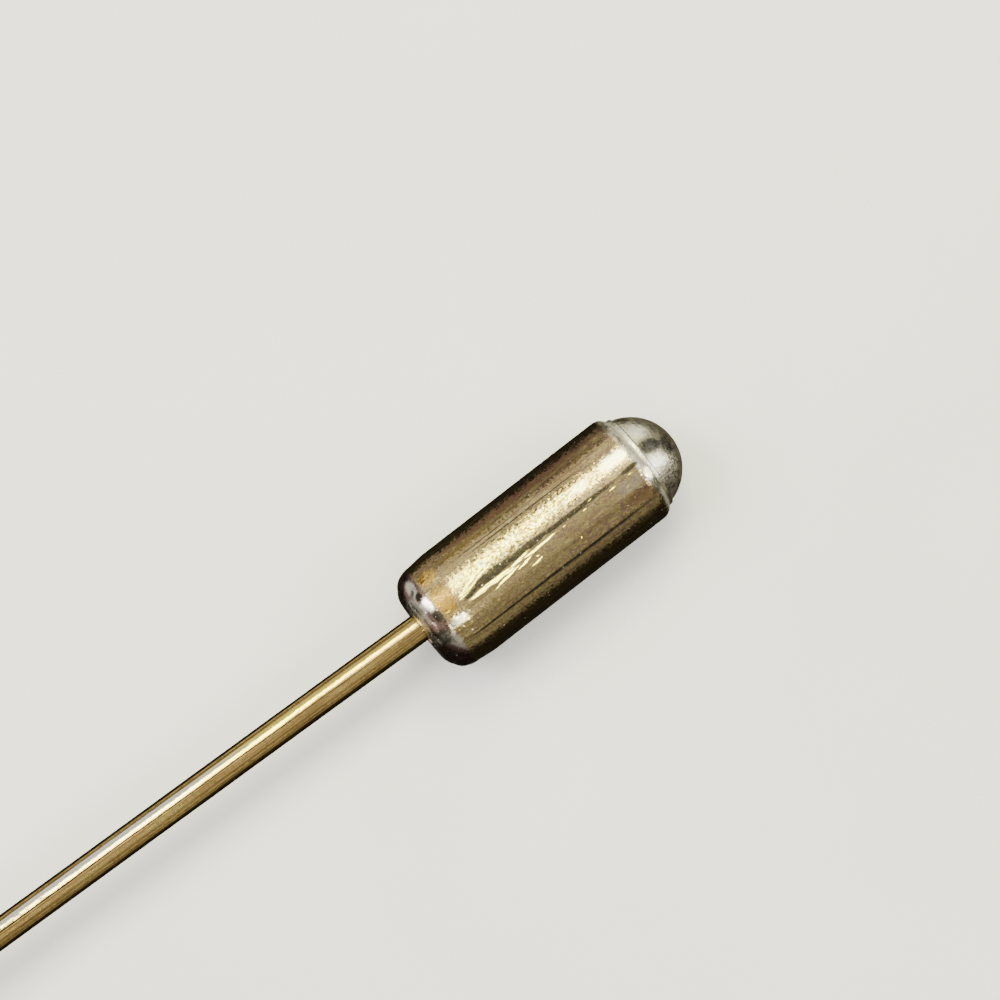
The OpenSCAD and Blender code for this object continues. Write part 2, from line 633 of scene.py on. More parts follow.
@dataclass(frozen=True)
class ClutchGilt:
    """Gold plate on a deep-drawn brass can: pale gold with fine lines along the draw, and rubbed rims.

    The thin plate shows the draw lines of the can under it, browner where the film is thick, and it has
    worn off the rolled ends down to a grey metal. IOR stays at the default of a metal.
    """

    marks: tuple[Mark, ...]
    name: str = "gold_plated_drawn_brass"
    gold: str = "#EFD492"
    # yellow paints the highlight's tint.
    yellow: str = "#FFEE70"
    warm: str = "#E6B444"
    olive: str = "#C9B27C"
    brown: str = "#A2895E"
    copper: str = "#9A6C50"
    mauve: str = "#AC8A7C"
    green: str = "#D8CE80"
    # silver is the nickel of worn rims and lips, and also paints the highlight whiter.
    silver_and_highlight: str = "#EAE3D0"
    # tarnish is a dark film, and also the painted dark reflection of the camera, of the horizon and of the
    # dark room on the lip.
    tarnish_and_dark_reflection: str = "#443F32"
    black: str = "#1A1613"
    maroon: str = "#755E56"
    lip_dull: str = "#777263"
    lip_grey: str = "#B0AA98"
    # pit paints dark grains over the highlight.
    highlight_grain_shade: str = "#5E4A26"
    fresh: str = "#FFF06C"
    # speck is dust, and also paints the lip's white highlight.
    dust_and_highlight_white: str = "#FFFAEC"
    # Draw lines, the finest that 30 pixels a millimetre can show, and the bands that they lie in.
    draw_line_mm: Triple = (4.55, 0.091, 0.091)
    draw_band_mm: Triple = (10.0, 0.31, 0.31)
    # The plate's grains. Real ones are a tenth of that, too fine to show.
    grain_mm: Triple = (0.067, 0.053, 0.053)
    # Patches where the copper strike shows through, and mottling where it warms the plate or brass greens it.
    patch_mm: Triple = (1.8, 0.77, 0.77)
    mottle_mm: Triple = (0.25, 0.111, 0.111)
    # Clouds that paint the highlight whiter or greener, and dark grains painted over it where plate grains
    # would miss the lamp.
    cloud_mm: Triple = (0.45, 0.2, 0.2)
    pit_mm: Triple = (0.143, 0.077, 0.077)
    rim_patch_mm: Triple = (0.91, 0.91, 0.91)
    # Every third cell holds a bright point 0.03 mm wide, of dust or a fresh nick.
    dust_cell_mm: Triple = (0.182, 0.125, 0.125)
    # A cut is a sheaf of hairs, which fray its edges.
    hair_mm: Triple = (1.1, 0.059, 0.059)
    # How far the edges of worn places wander, and the waves in which they do, and the same for cuts.
    edge_reach_mm: Triple = (0.20, 0.07, 0.0)
    edge_wave_mm: Triple = (0.2, 0.062, 0.062)
    cut_reach_mm: Triple = (0.20, 0.10, 0.0)
    cut_wave_mm: Triple = (0.4, 0.071, 0.071)
    # Along the skin: the mottled stretch, the rubbed base rim, the end of the plating, the bare lip.
    mottled_mm: Pair = (3.0, 6.5)
    rim_mm: Pair = (0.80, 0.68)
    plating_end_mm: Pair = (9.27, 9.42)
    bare_lip_mm: Pair = (9.04, 9.12)
    # The cuts were made by strokes from one side, so their wide walls face one way, 16 degrees off upright.
    cut_facing: Triple = (-0.008, 0.282, 0.959)

    def make(self) -> bpy.types.Material:
        """Builds the material.

        Returns:
            The material.
        """
        s = Shader(self.name)
        place = s.place_mm(CLUTCH_BASE_MM, CLUTCH_TURN_DEG)
        skin = s.add("UVMap", {"uv_map": SKIN_MAP})
        lines = s.grain(place, self.draw_line_mm, 3.0, 0.6)
        bands = s.grain(place, self.draw_band_mm, 2.0, 0.5)
        grains, random = s.facets(place, self.grain_mm)
        tone = random.outputs["Blue"]
        patches = s.grain(place, self.patch_mm, 3.0, 0.55)
        worn_skin = s.wander(skin, s.grain(place, self.edge_wave_mm, 3.0), self.edge_reach_mm)
        axes = s.add("SeparateXYZ", links={"Vector": worn_skin})
        run, way = axes.outputs["X"], axes.outputs["Y"]

        colour = s.film(self.gold, self.olive, bands, (0.38, 0.66))
        colour = s.film(colour, self.brown, lines, (0.46, 0.66), (0.0, 0.75))
        colour = s.film(colour, self.copper, patches, (0.55, 0.75), (0.0, 0.35))
        mottle = s.grain(place, self.mottle_mm, 3.0, 0.65)
        towards_lip = s.where(run, self.mottled_mm, (0.3, 0.8))
        colour = s.film(colour, self.mauve, mottle, (0.49, 0.62), within=towards_lip)
        colour = s.film(colour, self.green, mottle, (0.48, 0.36), (0.0, 0.6))
        # Along the band that mirrors the key panel the highlight is painted: a yellow tint, whiter and olive
        # clouds, and dark grains.
        thin = s.masks(worn_skin, self.marks, Flaw.HIGHLIGHT_TINT)
        colour = s.film(colour, self.yellow, tone, (0.2, 0.6), (1.0, 0.4), thin)
        clouds = s.grain(place, self.cloud_mm, 3.0, 0.65)
        colour = s.film(colour, self.silver_and_highlight, clouds, (0.52, 0.62), within=thin)
        colour = s.film(colour, self.olive, clouds, (0.46, 0.36), within=thin)
        pits = s.grain(place, self.pit_mm, 2.0, 0.7)
        highlight_grain_band = s.masks(worn_skin, self.marks, Flaw.HIGHLIGHT_DARK_GRAINS)
        colour = s.film(colour, self.highlight_grain_shade, pits, (0.48, 0.58), (0.0, 0.95), highlight_grain_band)
        for flaw, over in ((Flaw.GOLD, self.warm), (Flaw.COPPER, self.copper)):
            colour = s.film(colour, over, s.masks(worn_skin, self.marks, flaw))

        # The rims are rubbed grey, the base's with a maroon film left in its hollows.
        rim = s.where(run, self.rim_mm)
        rim_patches = s.grain(place, self.rim_patch_mm, 2.0, 0.5)
        colour = s.film(colour, s.film(self.silver_and_highlight, self.maroon, rim_patches, (0.36, 0.50)), rim)
        # The plating ends in a ragged line on the curve of the lip, later on the side that lies down.
        later = s.where(way, (-0.3, -0.9), (0.0, 0.13))
        lip = s.where(s.plus(run, (mottle, 0.5), (clouds, 0.6), (later, -1.0)), self.plating_end_mm)
        bare = s.where(s.plus(run, (pits, 0.2)), self.bare_lip_mm)
        lip_colour = s.film(self.lip_dull, self.lip_grey, pits, (0.42, 0.58))
        colour = s.film(colour, s.film(lip_colour, self.silver_and_highlight, bare), lip)
        # Nickel rubbed bare, and painted highlights: whiter spots in the key panel's highlight and the small
        # highlight by the base.
        silver_and_highlight = s.masks(worn_skin, self.marks, Flaw.SILVER_AND_HIGHLIGHT)
        colour = s.film(colour, self.silver_and_highlight, silver_and_highlight)

        # Some grains are browner, and most grains of the tarnish and of the painted dark reflections are
        # dark.
        calm = s.most(silver_and_highlight, rim, lip)
        lively = s.where(calm, (0.0, 1.0), (1.0, 0.25))
        colour = s.film(colour, self.brown, tone, (0.45, 1.0), (0.0, 0.8), lively)
        # Tarnish marks, with the painted dark reflections among them: the camera's streak under the
        # highlight, the horizon's line and the darker lip.
        stains = s.masks(worn_skin, self.marks, Flaw.TARNISH_AND_DARK_REFLECTION)
        tarnish_and_dark_reflection = s.where(tone, (0.0, 0.4), (0.75, 1.0), stains)
        colour = s.film(colour, self.tarnish_and_dark_reflection, tarnish_and_dark_reflection)
        colour = s.film(colour, self.black, s.masks(worn_skin, self.marks, Flaw.BLACK))

        cells, chances = s.facets(place, self.dust_cell_mm)
        points = s.where(cells, (0.21, 0.05))
        dust = s.where(chances.outputs["Red"], (0.55, 1.0), (0.0, 0.75), points)
        hairs = s.grain(place, self.hair_mm, 2.0, 0.6)
        cut_skin = s.wander(skin, s.grain(place, self.cut_wave_mm, 3.0), self.cut_reach_mm)
        cuts = s.masks(cut_skin, self.marks, Flaw.SCRATCH_AND_HIGHLIGHT, 0.55)
        scratch = s.where(hairs, (0.60, 0.48), (0.22, 1.0), cuts)
        # A painted white highlight on the lip, on a facet that faces the key panel.
        burnished_highlight = s.masks(cut_skin, self.marks, Flaw.BURNISH_HIGHLIGHT, 0.7)
        colour = s.film(colour, self.dust_and_highlight_white, s.most(dust, burnished_highlight))
        colour = s.film(colour, self.fresh, scratch)

        rough = s.where(tone, (0.0, 1.0), (0.12, 0.24))
        rough = s.plus(rough, (tarnish_and_dark_reflection, 0.2), (rim, 0.10), (lip, 0.30))
        flat = s.where(s.most(calm, scratch), (0.0, 1.0), (0.11, 0.03))
        normal = s.lean(grains, flat, s.relief((lines, 3.0)))
        dust_wall = s.add("Math", {"operation": "MULTIPLY", "Value_001": 0.6}, {"Value": dust})
        wall = s.most(scratch, burnished_highlight, dust_wall)
        faced = {"data_type": "VECTOR", "B_Vector": self.cut_facing}
        normal = s.add("Mix", faced, {"Factor": wall, "A_Vector": normal})
        normal = s.add("VectorMath", {"operation": "NORMALIZE"}, {"Vector": normal})
        return s.feed({"Base Color": colour, "Roughness": rough, "Normal": normal, "Metallic": 1.0})


@dataclass(frozen=True)
class CapNickel:
    """Worn nickel on a pressed brass cap: cream grey, dull, with short scratches in all directions."""

    blotches: tuple[Blotch, ...]
    name: str = "worn_nickel_plate"
    nickel: str = "#E6DBB6"
    shade: str = "#ABA48A"
    # tarnish paints the dome's dark reflections. fresh colours its scratches and ring, and also paints its
    # highlights.
    tarnish_and_dark_reflection: str = "#55524A"
    fresh: str = "#FAF4DE"
    patch_mm: Triple = (0.71, 0.71, 0.71)
    # Rubbing scratches along and across the cap.
    along_mm: Triple = (0.83, 0.071, 0.071)
    across_mm: Triple = (0.071, 0.333, 0.333)
    grain_mm: Triple = (0.059, 0.059, 0.059)
    # How far the edges of the painted dark reflections and highlights wander, and the waves in which they do.
    edge_reach_mm: Triple = (0.3, 0.3, 0.3)
    edge_wave_mm: Triple = (0.25, 0.25, 0.25)
    # The ring round the dome's edge is rubbed bright: where it ends, and from which side on.
    ring_end_mm: Pair = (9.33, 9.28)
    ring_side_mm: Pair = (-1.15, -0.90)

    def make(self) -> bpy.types.Material:
        """Builds the material.

        Returns:
            The material.
        """
        s = Shader(self.name)
        place = s.place_mm(CLUTCH_BASE_MM, CLUTCH_TURN_DEG)
        patches = s.grain(place, self.patch_mm, 3.0, 0.6)
        along = s.grain(place, self.along_mm, 3.0, 0.6)
        across = s.grain(place, self.across_mm, 3.0, 0.6)
        grains, random = s.facets(place, self.grain_mm)
        tone = random.outputs["Blue"]
        painted_light_place = s.wander(place, s.grain(place, self.edge_wave_mm, 4.0, 0.6), self.edge_reach_mm)
        colour = s.film(self.nickel, self.shade, patches, (0.42, 0.68))
        colour = s.film(colour, self.shade, across, (0.5, 0.7), (0.0, 0.5))
        colour = s.film(colour, self.fresh, along, (0.55, 0.7), (0.0, 0.4))
        colour = s.film(colour, self.shade, tone, (0.5, 1.0), (0.0, 0.5))
        # The blotches paint the dome's dark reflections and its highlights.
        colour = s.film(colour, self.tarnish_and_dark_reflection, s.masks(painted_light_place, self.blotches, Flaw.TARNISH_AND_DARK_REFLECTION, 0.65))
        bright = s.masks(painted_light_place, self.blotches, Flaw.SCRATCH_AND_HIGHLIGHT, 0.6)
        axes = s.add("SeparateXYZ", links={"Vector": place})
        ring = s.where(axes.outputs["X"], self.ring_end_mm)
        ring = s.where(axes.outputs["Y"], self.ring_side_mm, within=ring)
        ring = s.where(across, (0.38, 0.58), (1.0, 0.60), ring)
        colour = s.film(colour, self.fresh, s.most(bright, ring))
        rough = s.plus(s.where(tone, (0.0, 1.0), (0.28, 0.44)), (ring, 0.04))
        normal = s.lean(grains, 0.16, s.relief((along, 7.0), (across, 6.0)))
        return s.feed({"Base Color": colour, "Roughness": rough, "Normal": normal, "Metallic": 1.0})


@dataclass(frozen=True)
class WireBrass:
    """Hard-drawn brass wire: warm yellow, smooth, with long die lines and a little browning."""

    marks: tuple[Mark, ...]
    name: str = "drawn_brass_wire"
    brass: str = "#E6C276"
    brown: str = "#9C7E48"
    pale: str = "#F8E484"
    # tarnish paints the dark reflection line, white the pale highlight far from the clutch, and yellow the
    # highlight's tint.
    tarnish_and_dark_reflection: str = "#54431F"
    painted_highlight_white: str = "#FFF6DC"
    yellow: str = "#FFE860"
    die_line_mm: Triple = (8.3, 0.062, 0.062)
    stain_mm: Triple = (2.0, 0.45, 0.45)
    # Grains coarser than real ones, which are too fine to show.
    grain_mm: Triple = (0.1, 0.059, 0.059)
    # How far the edges of the painted highlight and of the painted dark reflection line wander, and the waves
    # in which they do.
    edge_reach_mm: Triple = (0.0, 0.08, 0.0)
    edge_wave_mm: Triple = (2.0, 2.0, 2.0)
    # Far from the clutch the wire bows by 3 degrees, so little that only its shine tells.
    bow_slope: Triple = (0.044, 0.04, 0.0)
    bow_run_mm: Pair = (45.0, 39.0)

    def make(self) -> bpy.types.Material:
        """Builds the material.

        Returns:
            The material.
        """
        s = Shader(self.name)
        place = s.place_mm((0, 0, WIRE_HEIGHT_MM))
        skin = s.add("UVMap", {"uv_map": SKIN_MAP})
        lines = s.grain(place, self.die_line_mm, 3.0, 0.6)
        stains = s.grain(place, self.stain_mm, 4.0, 0.6)
        grains, random = s.facets(place, self.grain_mm)
        tone = random.outputs["Blue"]
        colour = s.film(self.brass, self.brown, lines, (0.45, 0.7))
        colour = s.film(colour, self.brown, stains, (0.5, 0.72), (0.0, 0.45))
        colour = s.film(colour, self.pale, stains, (0.48, 0.3), (0.0, 0.5))
        colour = s.film(colour, self.brown, tone, (0.45, 1.0), (0.0, 0.5))
        worn_skin = s.wander(skin, s.grain(place, self.edge_wave_mm, 3.0), self.edge_reach_mm)
        # These marks paint light: the highlight's tint and whiteness, and a dark reflection line.
        rubbed = ((Flaw.HIGHLIGHT_TINT, self.yellow), (Flaw.SILVER_AND_HIGHLIGHT, self.painted_highlight_white), (Flaw.TARNISH_AND_DARK_REFLECTION, self.tarnish_and_dark_reflection))
        for flaw, over in rubbed:
            colour = s.film(colour, over, s.masks(worn_skin, self.marks, flaw))
        rough = s.where(tone, (0.0, 1.0), (0.08, 0.16))
        normal = s.lean(grains, 0.04, s.relief((lines, 1.4)))
        run = s.add("SeparateXYZ", links={"Vector": skin}).outputs["X"]
        far = s.where(run, self.bow_run_mm)
        bow = s.add("VectorMath", {"operation": "SCALE", "Vector": self.bow_slope}, {"Scale": far})
        normal = s.add("VectorMath", {"operation": "ADD"}, {"Vector": bow, "Vector_001": normal})
        normal = s.add("VectorMath", {"operation": "NORMALIZE"}, {"Vector": normal})
        return s.feed({"Base Color": colour, "Roughness": rough, "Normal": normal, "Metallic": 1.0})


@dataclass(frozen=True)
class HeadGilt:
    """Polished gold plate on a turned brass button: bright, with fine wiping scratches and a darker rim."""

    middle_mm: Triple
    name: str = "polished_gold_plate"
    gold: str = "#EFCF88"
    olive: str = "#C9AE74"
    copper: str = "#A87850"
    patch_mm: Triple = (1.67, 1.67, 1.67)
    # Wiping scratches in two directions.
    wipe_mm: Triple = (1.67, 0.111, 0.5)
    cross_mm: Triple = (0.125, 1.43, 0.5)
    pit_mm: Triple = (0.111, 0.111, 0.111)
    # The plate is thinnest on the widest part of the rim, where the copper strike warms it.
    rim_from_mm: Pair = (3.6, 5.0)
    rim_to_mm: Pair = (7.4, 6.0)

    def make(self) -> bpy.types.Material:
        """Builds the material.

        Returns:
            The material.
        """
        s = Shader(self.name)
        place = s.place_mm(self.middle_mm)
        patches = s.grain(place, self.patch_mm, 4.0, 0.6)
        wipe = s.grain(place, self.wipe_mm, 3.0, 0.6)
        cross = s.grain(place, self.cross_mm, 3.0, 0.6)
        pits = s.grain(place, self.pit_mm, 3.0, 0.6)
        colour = s.film(self.gold, self.olive, patches, (0.4, 0.68))
        colour = s.film(colour, self.olive, wipe, (0.52, 0.7), (0.0, 0.4))
        skin = s.add("UVMap", {"uv_map": SKIN_MAP})
        run = s.add("SeparateXYZ", links={"Vector": skin}).outputs["X"]
        rim = s.where(run, self.rim_to_mm, within=s.where(run, self.rim_from_mm))
        colour = s.film(colour, self.copper, patches, (0.35, 0.6), within=rim)
        rough = s.where(pits, (0.3, 0.7), (0.08, 0.18))
        normal = s.relief((wipe, 3.0), (cross, 3.0), (pits, 2.0))
        return s.feed({"Base Color": colour, "Roughness": rough, "Normal": normal, "Metallic": 1.0})


@dataclass(frozen=True)
class GripBrass:
    """A brass ring inside the clutch: plain yellow brass, dulled by its grease, with turning marks."""

    name: str = "greased_turned_brass"
    brass: str = "#C9A35C"
    grease: str = "#5D4C2A"
    smear_mm: Triple = (0.5, 0.5, 0.5)
    turning_mm: Triple = (0.062, 1.67, 1.67)

    def make(self) -> bpy.types.Material:
        """Builds the material.

        Returns:
            The material.
        """
        s = Shader(self.name)
        place = s.place_mm(CLUTCH_BASE_MM, CLUTCH_TURN_DEG)
        smears = s.grain(place, self.smear_mm, 4.0, 0.6)
        colour = s.film(self.brass, self.grease, smears, (0.42, 0.66))
        rough = s.where(smears, (0.3, 0.7), (0.25, 0.5))
        normal = s.relief((s.grain(place, self.turning_mm), 6.0))
        return s.feed({"Base Color": colour, "Roughness": rough, "Normal": normal, "Metallic": 1.0})


@dataclass(frozen=True)
class FloorPaper:
    """Uncoated pale paper: matt, with a faint cloudiness."""

    name: str = "pale_matt_paper"
    light: str = "#EDEBE6"
    dark: str = "#E4E1DB"
    cloud_mm: Triple = (50.0, 50.0, 50.0)
    roughness: float = 0.9
    specular: float = 0.2

    def make(self) -> bpy.types.Material:
        """Builds the material.

        Returns:
            The material.
        """
        s = Shader(self.name)
        clouds = s.grain(s.place_mm((0, 0, 0)), self.cloud_mm, 4.0, 0.6)
        colour = s.film(self.light, self.dark, clouds, (0.35, 0.7))
        gloss = {"Roughness": self.roughness, "Specular IOR Level": self.specular}
        return s.feed({"Base Color": colour} | gloss)


# Wear in the shapes


def fade(value: float, start: float, end: float) -> float:
    """Gives how far a value has come from a start, where it is 0, to an end, where it is 1."""
    return min(1.0, max(0.0, (value - start) / (end - start)))


@dataclass(frozen=True)
class Wave:
    """A faint waviness of the skin: its mean depth in mm, and its waves per mm across and along the work."""

    depth_mm: float
    across_per_mm: float
    along_per_mm: float

    def at(self, place: Vector) -> float:
        """Gives the depth in mm at a place of the lathe's frame."""
        across = self.across_per_mm
        return self.depth_mm * (1 + noise.noise(place * Vector((across, across, self.along_per_mm))))


@dataclass(frozen=True)
class Dent:
    """A shallow knock in the skin: its middle, its half sizes and its depth, in mm."""

    run: float
    way: float
    half_run: float
    half_way: float
    depth: float

    def at(self, run: float, way: float) -> float:
        """Gives the depth at a place of the skin, which at the half sizes is an eighth of the whole."""
        away = ((run - self.run) / self.half_run) ** 2 + ((way - self.way) / self.half_way) ** 2
        return self.depth * math.exp(-2 * away)


# The pin


@dataclass
class ButtonHead:
    """The pin's head: a domed button that lies on its flat back."""

    middle_mm: float = -27.8053
    radius_mm: float = 4.0
    height_mm: float = 4.4
    face_radius_mm: float = 4.6
    rim_middle_mm: Pair = (2.4, 1.6)
    tangent_mm: Pair = (3.68, 2.56)
    # Below this height the back is flat.
    back_mm: float = 0.05
    wave: Wave = Wave(0.006, 0.6, 0.6)

    def build(self) -> bpy.types.Object:
        """Turns the button from the middle of its face round the rim to the middle of its back.

        Returns:
            The finished piece.
        """
        middle = (self.middle_mm, 0, 0)
        lathe = Lathe("button_head", seat_upright(middle), gauge_mm=self.radius_mm)
        face_middle = self.height_mm - self.face_radius_mm
        face_deg = math.degrees(math.atan2(self.tangent_mm[0], self.tangent_mm[1] - face_middle))
        lathe.start(0, self.height_mm)
        lathe.arc(0, face_middle, face_deg, parts=28)
        lathe.arc(*self.rim_middle_mm, 180 - face_deg, parts=30)
        lathe.line(0, 0, parts=8)
        lathe.turn()
        lathe.knock(lambda run, way, place: self.wave.at(place) if place.z > self.back_mm else 0.0)
        return lathe.seated(HeadGilt(middle).make())


@dataclass
class Stem:
    """The pin's wire, from the head's socket to its ground point."""

    start_mm: float = -26.8053
    end_mm: float = 28.1947
    radius_mm: float = 0.5
    taper_mm: float = 2.2
    tip_radius_mm: float = 0.1
    wave: Wave = Wave(0.003, 1.4, 0.7)
    marks: tuple[Mark, ...] = ()

    def build(self) -> bpy.types.Object:
        """Turns the wire, and leaves the faint waviness that drawing leaves in it.

        Returns:
            The finished piece.
        """
        length = self.end_mm - self.start_mm
        seat = seat_along_wire((self.start_mm, 0, WIRE_HEIGHT_MM))
        lathe = Lathe("pin_wire", seat, steps=48, gauge_mm=self.radius_mm)
        lathe.start(0, 0)
        lathe.line(self.radius_mm, 0, parts=2)
        lathe.line(self.radius_mm, length - self.taper_mm, parts=220)
        lathe.line(self.tip_radius_mm, length, parts=16)
        lathe.line(0, length)
        lathe.turn()
        lathe.knock(lambda run, way, place: self.wave.at(place))
        return lathe.seated(WireBrass(self.marks).make())


# The clutch


@dataclass
class ClutchCan:
    """The clutch's shell: a deep-drawn can with a rounded base and a rolled lip that holds the cap."""

    radius_mm: float = 2.0
    wall_mm: float = 0.25
    base_round_mm: float = 0.75
    base_hole_mm: float = 0.678665
    lip_at_mm: float = 8.72
    lip_round_mm: float = 0.45
    lip_turn_deg: float = 64.0
    # The base end's slight taper: where it begins, and its depth from the corner on.
    taper_end_mm: float = 1.6
    taper_mm: float = 0.065
    wave: Wave = Wave(0.003, 0.9, 0.45)
    # The base's rim is knocked about more, from the first place on and fully from the second.
    rim_wave: Wave = Wave(0.020, 2.1, 2.1)
    rim_mm: Pair = (0.8, 0.5)
    # The knocks fade out towards the base's flat and towards the lip's edge.
    flat_fade_mm: float = 0.35
    lip_fade_mm: float = 0.1
    # The skin's straight steps fall short of its arcs by less than this.
    slack_mm: float = 0.01
    dents: tuple[Dent, ...] = ()
    marks: tuple[Mark, ...] = ()

    def build(self) -> bpy.types.Object:
        """Turns the can's outside and inside as one closed wall.

        Returns:
            The finished piece.
        """
        corner = self.radius_mm - self.base_round_mm
        flat = corner - self.base_hole_mm
        run = self.base_round_mm - self.base_round_mm * math.pi / 2 - flat
        seat = seat_along_wire(CLUTCH_BASE_MM, CLUTCH_TURN_DEG)
        lathe = Lathe("clutch_can", seat, steps=192, gauge_mm=self.radius_mm, first_run_mm=run)
        lathe.start(self.base_hole_mm, 0)
        lathe.line(corner, 0, parts=6)
        lathe.arc(corner, self.base_round_mm, -90, parts=20)
        lathe.line(self.radius_mm, self.lip_at_mm, parts=110)
        hole = self.radius_mm - self.lip_round_mm
        lathe.arc(hole, self.lip_at_mm, -self.lip_turn_deg, parts=14)
        lathe.line(hole, lathe.tip.co.z, parts=2)
        lathe.line(hole, self.lip_at_mm + self.lip_round_mm - self.wall_mm, parts=2)
        lathe.arc(hole, self.lip_at_mm, 90, parts=6)
        lathe.line(self.radius_mm - self.wall_mm, self.base_round_mm, parts=4)
        lathe.arc(corner, self.base_round_mm, 90, parts=8)
        lathe.line(self.base_hole_mm, self.wall_mm, parts=2)
        lathe.line(self.base_hole_mm, 0, parts=2)
        lathe.turn()
        lathe.knock(self.knocks)
        return lathe.seated(ClutchGilt(self.marks).make())

    def knocks(self, run: float, way: float, place: Vector) -> float:
        """Gives how far the outside is pushed in by its dents, its taper and its waviness.

        Args:
            run: Skin length from the base, in mm.
            way: The way round, in mm.
            place: The place in the lathe's frame.

        Returns:
            The depth in mm, 0 on the inside of the can.
        """
        flat_end = self.base_round_mm * (1 - math.pi / 2)
        lip_end = self.lip_at_mm + self.lip_round_mm * math.radians(self.lip_turn_deg)
        if run > lip_end - self.slack_mm:
            return 0.0
        depth = sum(d.at(run, way) for d in self.dents)
        fall = fade(run, self.taper_end_mm, self.base_round_mm)
        depth += self.taper_mm * fall * fall * (3 - 2 * fall)
        depth += self.wave.at(place) + fade(run, *self.rim_mm) * self.rim_wave.at(place)
        from_flat = fade(run, flat_end, flat_end + self.flat_fade_mm)
        from_lip = fade(run, lip_end, lip_end - self.lip_fade_mm)
        return depth * min(from_flat, from_lip)


@dataclass
class ClutchCap:
    """The clutch's end: a pressed dome with a raised ring round it, held by its flange inside the lip."""

    ball_at_mm: float = 8.84975
    ball_radius_mm: float = 1.75025
    ring_at_mm: float = 9.13
    ring_mm: float = 0.16
    ring_radius_mm: float = 1.765
    ring_corner_mm: float = 0.035
    neck_mm: float = 1.53
    flange_at_mm: float = 8.40
    lip_at_mm: float = 8.72
    flange_mm: float = 1.73
    # Wear leaves broad flats and shallow creases.
    flats: Wave = Wave(0.012, 1.3, 1.3)
    creases: Wave = Wave(0.004, 3.1, 3.1)
    blotches: tuple[Blotch, ...] = ()

    def build(self) -> bpy.types.Object:
        """Turns the cap from its tip over the dome, the ring and the neck to the middle of its flange.

        Returns:
            The finished piece.
        """
        seat = seat_along_wire(CLUTCH_BASE_MM, CLUTCH_TURN_DEG)
        lathe = Lathe("clutch_dome", seat, steps=160, gauge_mm=self.ball_radius_mm)
        corner = self.ring_corner_mm
        shoulder = self.ring_radius_mm - corner
        ring_end = self.ring_at_mm + self.ring_mm
        dome_deg = math.degrees(math.acos((ring_end - self.ball_at_mm) / self.ball_radius_mm))
        lathe.start(0, self.ball_at_mm + self.ball_radius_mm)
        lathe.arc(0, self.ball_at_mm, dome_deg, parts=40)
        lathe.line(shoulder, ring_end)
        lathe.arc(shoulder, ring_end - corner, 90, parts=6)
        lathe.line(self.ring_radius_mm, self.ring_at_mm + corner, parts=2)
        lathe.arc(shoulder, self.ring_at_mm + corner, 90, parts=6)
        lathe.line(self.neck_mm, self.ring_at_mm, parts=2)
        lathe.line(self.neck_mm, self.lip_at_mm, parts=2)
        lathe.line(self.flange_mm, self.lip_at_mm, parts=2)
        lathe.line(self.flange_mm, self.flange_at_mm)
        lathe.line(0, self.flange_at_mm, parts=3)
        lathe.turn()
        ring_middle = self.ring_at_mm + self.ring_mm / 2
        lathe.knock(lambda run, way, place: 0.0 if place.z < ring_middle else self.wear(place))
        return lathe.seated(CapNickel(self.blotches).make())

    def wear(self, place: Vector) -> float:
        """Gives how far the dome is pushed in by wear, in mm."""
        return self.flats.at(place) + self.creases.at(place)


# Light and camera


@dataclass(frozen=True)
class Panel:
    """A soft panel, placed by what the clutch mirrors.

    Its edges are angles from straight up, in degrees, to the clutch's side and along it.
    """

    name: str
    side_deg: Pair
    along_deg: Pair
    radiance: float
    colour: str = "#FFFFFF"
    distance_m: float = 0.45
    mirrored: bool = True

    def span(self, edges_deg: Pair) -> float:
        """Gives how wide the panel is between two angles, in metres."""
        return 2 * self.distance_m * math.tan(math.radians(edges_deg[1] - edges_deg[0]) / 2)

    def build(self, target: Vector) -> bpy.types.Object:
        """Makes the panel face its target.

        Args:
            target: The point that it is aimed at.

        Returns:
            The light object.
        """
        light = bpy.data.lights.new(self.name, "AREA")
        light.shape = "RECTANGLE"
        light.size, light.size_y = self.span(self.along_deg), self.span(self.side_deg)
        light.energy = self.radiance * math.pi * light.size * light.size_y
        light.color = linear(self.colour)[:3]
        side, along = (math.radians(sum(edges) / 2) for edges in (self.side_deg, self.along_deg))
        turn = Matrix.Rotation(math.radians(CLUTCH_TURN_DEG), 3, "Z")
        ahead = turn @ Vector((1, 0, 0))
        level = math.cos(along)
        back = turn @ Vector((math.sin(along), math.sin(side) * level, math.cos(side) * level))
        across = (ahead - back * ahead.dot(back)).normalized()
        face = Matrix((across, back.cross(across), back)).transposed().to_4x4()
        lamp = bpy.data.objects.new(self.name, light)
        lamp.matrix_world = Matrix.Translation(target + back * self.distance_m) @ face
        lamp.visible_glossy = self.mirrored
        bpy.context.scene.collection.objects.link(lamp)
        return lamp


